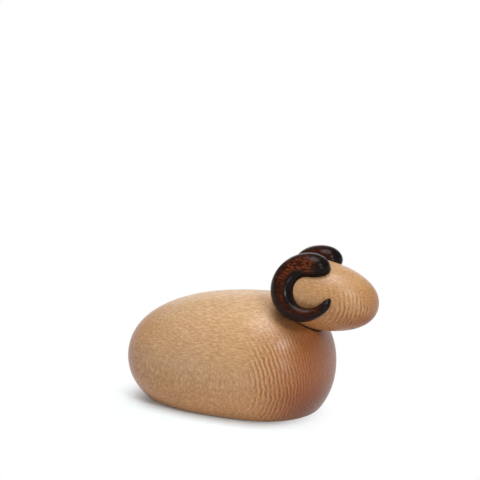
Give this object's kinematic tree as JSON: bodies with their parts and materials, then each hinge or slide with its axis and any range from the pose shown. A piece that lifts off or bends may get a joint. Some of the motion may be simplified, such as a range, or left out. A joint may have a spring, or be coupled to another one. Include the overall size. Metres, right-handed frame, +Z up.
{
  "type": "ram figurine",
  "caption": "Smooth turned-wood ram ornament: egg-shaped body with a flat base, egg-shaped head seated in it and dark curled horns on the head; stands on a shelf.",
  "frame": {"origin": "on the supporting surface, below the middle of the figure's bounding box", "axes": "+X forward, the way the ram faces; +Y to the ram's left; +Z up"},
  "size_m": [0.1594, 0.085, 0.1003],
  "materials": {
    "pale_wood": "pale hardwood with fine ray flecks, sanded and oiled to a satin",
    "smoked_wood": "dark smoked hardwood, mottled red-brown to black, oiled to a soft gloss",
    "dowel_wood": "plain hardwood dowel, unfinished"
  },
  "bodies": {
    "root": {"body": "pale_wood", "head": "pale_wood", "right_horn": "smoked_wood", "left_horn": "smoked_wood", "neck_dowel": "dowel_wood", "right_horn_front_dowel": "dowel_wood", "right_horn_rear_dowel": "dowel_wood", "left_horn_front_dowel": "dowel_wood", "left_horn_rear_dowel": "dowel_wood"}
  },
  "joints": []
}
